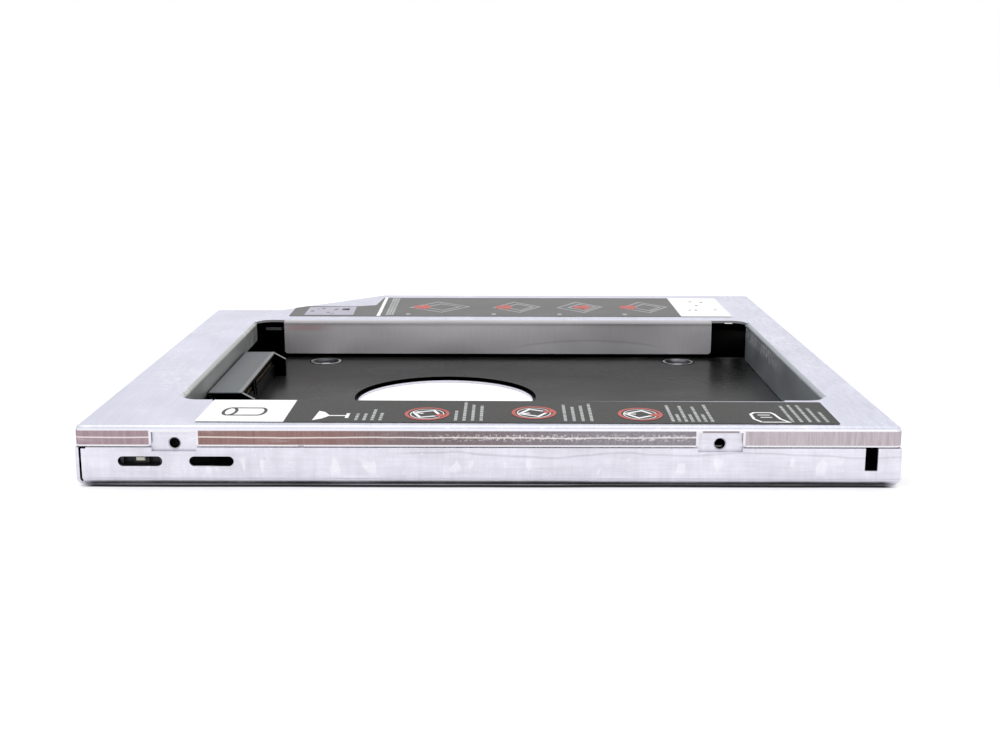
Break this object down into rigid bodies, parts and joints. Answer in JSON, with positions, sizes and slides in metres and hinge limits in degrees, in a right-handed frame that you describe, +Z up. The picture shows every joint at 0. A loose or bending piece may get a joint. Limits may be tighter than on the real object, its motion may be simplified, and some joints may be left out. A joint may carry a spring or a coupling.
{
  "type": "optical-bay drive caddy",
  "caption": "Low sheet-metal tray the size of a slim optical drive, with an open bay, socket and adapter board for a 2.5 inch drive.",
  "frame": {"origin": "middle of the body's outline, on the plane it lies on", "axes": "+X towards the front (bezel) end, +Y towards the side with the cut corner, +Z up through the open bay"},
  "size_m": [0.1262, 0.128, 0.0096],
  "materials": {
    "plated_sheet": "bright rolled sheet, pressed",
    "aluminium_sheet": "fine rolled grain, lightly blasted, slightly lilac",
    "liner_plastic": "thin matt black insulating sheet",
    "screw_steel": "nickel plated",
    "board": "black solder mask over glass laminate",
    "connector_plastic": "moulded, matt black",
    "gold_contact": "thin gold plating",
    "tinned_metal": "bright tin",
    "knob_plastic": "natural light grey plastic",
    "capacitor_ceramic": "fired, unglazed",
    "chip_black": "moulded epoxy",
    "tantalum_epoxy": "moulded epoxy with a polarity band",
    "grey_label": "printed film label"
  },
  "bodies": {
    "caddy": {"bottom_shell": "plated_sheet", "top_cover": "aluminium_sheet", "floor_liner": "liner_plastic", "cover_posts": "screw_steel", "cover_screws": "screw_steel", "adapter_board": "board", "board_standoffs": "screw_steel", "board_screws": "screw_steel", "drive_socket_housing": "connector_plastic", "drive_socket_signal_contacts": "gold_contact", "drive_socket_power_contacts": "gold_contact", "drive_socket_hold_downs": "tinned_metal", "host_plug_housing": "connector_plastic", "host_plug_signal_contacts": "gold_contact", "host_plug_power_contacts": "gold_contact", "host_plug_hold_downs": "tinned_metal", "mode_switch_case": "tinned_metal", "mode_switch_base": "connector_plastic", "mode_switch_terminals": "tinned_metal", "ceramic_capacitor_bodies": "capacitor_ceramic", "ceramic_capacitor_ends": "tinned_metal", "resistor_bodies": "chip_black", "resistor_ends": "tinned_metal", "tantalum_capacitor_body": "tantalum_epoxy", "tantalum_capacitor_ends": "tinned_metal", "signal_chip_body": "chip_black", "signal_chip_leads": "tinned_metal", "near_label": "grey_label", "far_label": "grey_label"},
    "switch_knob": {"mode_switch_knob": "knob_plastic"}
  },
  "joints": [
    {"name": "mode_switch_slide", "type": "slide", "parent": "caddy", "child": "switch_knob", "axis": [1, 0, 0], "range_m": [-0.002, 0.002]}
  ]
}
